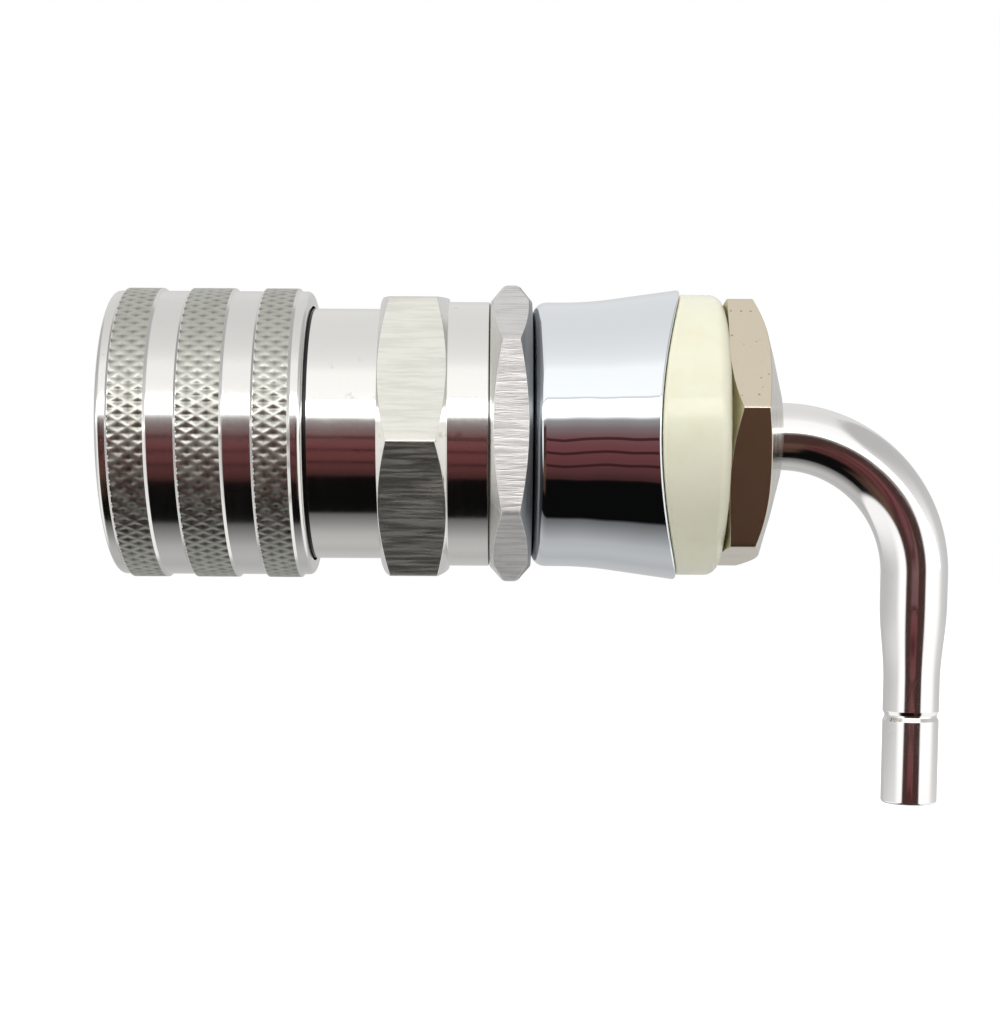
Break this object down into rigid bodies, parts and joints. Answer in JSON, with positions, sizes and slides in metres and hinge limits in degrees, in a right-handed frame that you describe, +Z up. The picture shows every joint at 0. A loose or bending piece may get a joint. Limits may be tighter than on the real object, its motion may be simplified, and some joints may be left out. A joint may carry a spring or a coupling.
{
  "type": "beer tap coupling",
  "caption": "Quick-release coupling for a beer font: knurled ball-lock socket, hexagon body, column clamp with saddle flange and spacer, and a bent push-fit tail.",
  "frame": {"origin": "the middle of the flange's saddle, on the axis of the shank, where the column's wall is clamped", "axes": "+X along the shank from the socket to the tail, +Z up, opposite the way the tail hangs, +Y away from the viewer of the picture"},
  "size_m": [0.1181, 0.0438, 0.0732],
  "materials": {
    "coupler_steel": "polished barrel and neck, ground hexagon",
    "sleeve_steel": "polished, with diamond-knurled bands",
    "nut_steel": "ground flats, turned chamfers",
    "shank_steel": "satin",
    "tail_steel": "polished",
    "flange_chrome": "mirror plated",
    "spacer_nylon": "moulded, half gloss",
    "ball_steel": "ground and polished",
    "spring_steel": "drawn wire and stamped strip",
    "seal_rubber": "moulded"
  },
  "bodies": {
    "root": {"shank": "shank_steel", "tail_tube": "tail_steel", "spacer": "spacer_nylon", "shank_seal": "seal_rubber"},
    "flange_slider": {"flange": "flange_chrome"},
    "coupler": {"coupler_body": "coupler_steel", "lock_nut": "nut_steel", "retaining_ring": "spring_steel", "plug_seal": "seal_rubber", "sleeve_spring": "spring_steel"},
    "sleeve_carriage": {"thrust_washer": "spring_steel"},
    "sleeve_grip": {"sleeve": "sleeve_steel"},
    "ball_1": {"ball_1": "ball_steel"},
    "ball_2": {"ball_2": "ball_steel"},
    "ball_3": {"ball_3": "ball_steel"},
    "ball_4": {"ball_4": "ball_steel"},
    "ball_5": {"ball_5": "ball_steel"},
    "ball_6": {"ball_6": "ball_steel"},
    "ball_7": {"ball_7": "ball_steel"},
    "ball_8": {"ball_8": "ball_steel"}
  },
  "joints": [
    {"name": "flange_slide", "type": "slide", "parent": "root", "child": "flange_slider", "axis": [-1, 0, 0], "range_m": [0, 0.00364]},
    {"name": "clamp_turn", "type": "hinge", "parent": "flange_slider", "child": "coupler", "pos_m": [-0.03, 0, 0], "axis": [-1, 0, 0], "range_deg": [0, 720]},
    {"name": "sleeve_slide", "type": "slide", "parent": "coupler", "child": "sleeve_carriage", "axis": [1, 0, 0], "range_m": [0, 0.0055], "stiffness_N_per_m": 1500, "springref_m": -0.004, "deforming": ["sleeve_spring"]},
    {"name": "sleeve_spin", "type": "hinge", "parent": "sleeve_carriage", "child": "sleeve_grip", "pos_m": [-0.062, 0, 0], "axis": [1, 0, 0], "continuous": true},
    {"name": "ball_slide_1", "type": "slide", "parent": "coupler", "child": "ball_1", "axis": [0, -1, 0], "range_m": [0, 0.00117]},
    {"name": "ball_slide_2", "type": "slide", "parent": "coupler", "child": "ball_2", "axis": [0, -0.7071, 0.7071], "range_m": [0, 0.00117]},
    {"name": "ball_slide_3", "type": "slide", "parent": "coupler", "child": "ball_3", "axis": [0, 0, 1], "range_m": [0, 0.00117]},
    {"name": "ball_slide_4", "type": "slide", "parent": "coupler", "child": "ball_4", "axis": [0, 0.7071, 0.7071], "range_m": [0, 0.00117]},
    {"name": "ball_slide_5", "type": "slide", "parent": "coupler", "child": "ball_5", "axis": [0, 1, 0], "range_m": [0, 0.00117]},
    {"name": "ball_slide_6", "type": "slide", "parent": "coupler", "child": "ball_6", "axis": [0, 0.7071, -0.7071], "range_m": [0, 0.00117]},
    {"name": "ball_slide_7", "type": "slide", "parent": "coupler", "child": "ball_7", "axis": [0, 0, -1], "range_m": [0, 0.00117]},
    {"name": "ball_slide_8", "type": "slide", "parent": "coupler", "child": "ball_8", "axis": [0, -0.7071, -0.7071], "range_m": [0, 0.00117]}
  ],
  "couplings": [
    {"joint": "flange_slide", "follows": "clamp_turn", "m_per_rad": 0.00028871},
    {"joint": "ball_slide_1", "follows": "sleeve_slide", "ratio": 0.21256},
    {"joint": "ball_slide_2", "follows": "sleeve_slide", "ratio": 0.21256},
    {"joint": "ball_slide_3", "follows": "sleeve_slide", "ratio": 0.21256},
    {"joint": "ball_slide_4", "follows": "sleeve_slide", "ratio": 0.21256},
    {"joint": "ball_slide_5", "follows": "sleeve_slide", "ratio": 0.21256},
    {"joint": "ball_slide_6", "follows": "sleeve_slide", "ratio": 0.21256},
    {"joint": "ball_slide_7", "follows": "sleeve_slide", "ratio": 0.21256},
    {"joint": "ball_slide_8", "follows": "sleeve_slide", "ratio": 0.21256}
  ]
}
